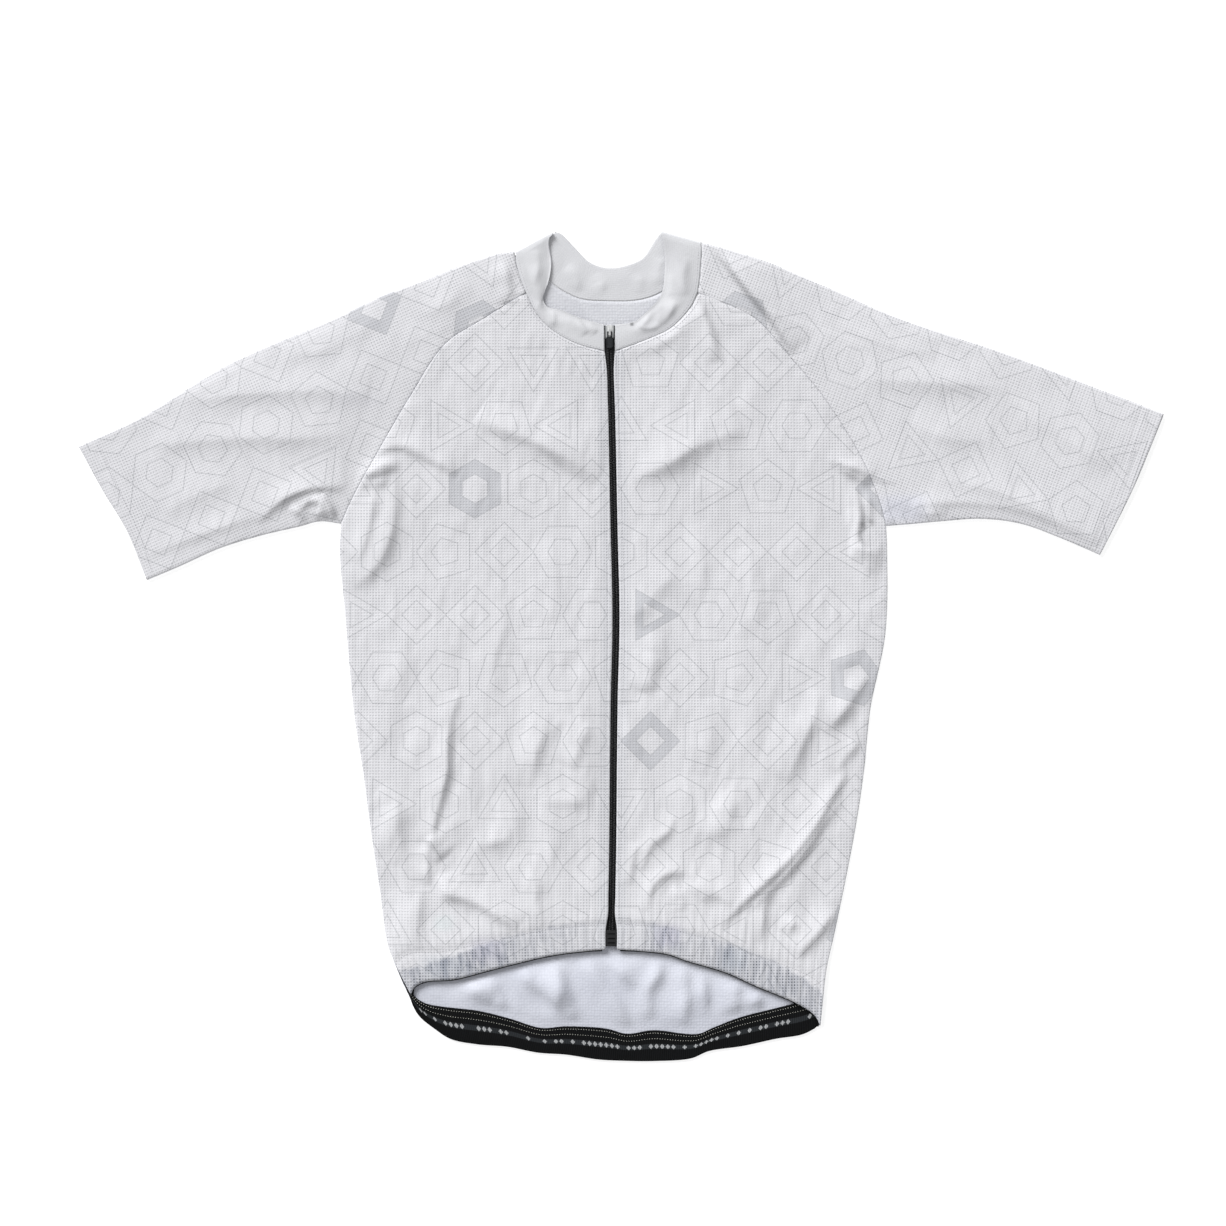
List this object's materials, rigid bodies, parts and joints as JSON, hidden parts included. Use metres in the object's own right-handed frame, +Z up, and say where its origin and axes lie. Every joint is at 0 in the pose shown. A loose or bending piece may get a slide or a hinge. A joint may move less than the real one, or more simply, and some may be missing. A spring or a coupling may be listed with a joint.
{
  "type": "cycling jersey",
  "caption": "Short-sleeved riding jersey laid flat, front up: raglan sleeves, stand collar, full-length zip, gathered front hem and elastic gripper band inside the dropped back hem.",
  "frame": {"origin": "centre of the bounding box at the surface that the jersey lies on", "axes": "+X to the right as the front is seen, which is the wearer's left; +Y from the hem up to the collar; +Z up off the surface, out of the front"},
  "size_m": [0.965, 0.738, 0.0102],
  "materials": {
    "light_knit": "matt perforated polyester knit with a fine print",
    "collar_knit": "smooth matt knit",
    "black_elastic": "ribbed woven elastic",
    "zip_black": "black polyester tape and coil",
    "zip_metal": "plated zinc slider",
    "pull_metal": "dark grey enamel"
  },
  "bodies": {
    "jersey": {"front_panel_left": "light_knit", "front_panel_right": "light_knit", "back_panel": "light_knit", "sleeve_left": "light_knit", "sleeve_right": "light_knit", "collar": "collar_knit", "hem_gripper": "black_elastic", "zip_tape_left": "zip_black", "zip_tape_right": "zip_black", "zip_bottom_stop": "zip_black", "zip_slider": "zip_metal"},
    "pull": {"zip_pull": "pull_metal"}
  },
  "joints": [
    {"name": "pull_swing", "type": "hinge", "parent": "jersey", "child": "pull", "pos_m": [-0.0103, 0.279, 0.0084], "axis": [-1, 0, 0], "range_deg": [0, 170]}
  ]
}
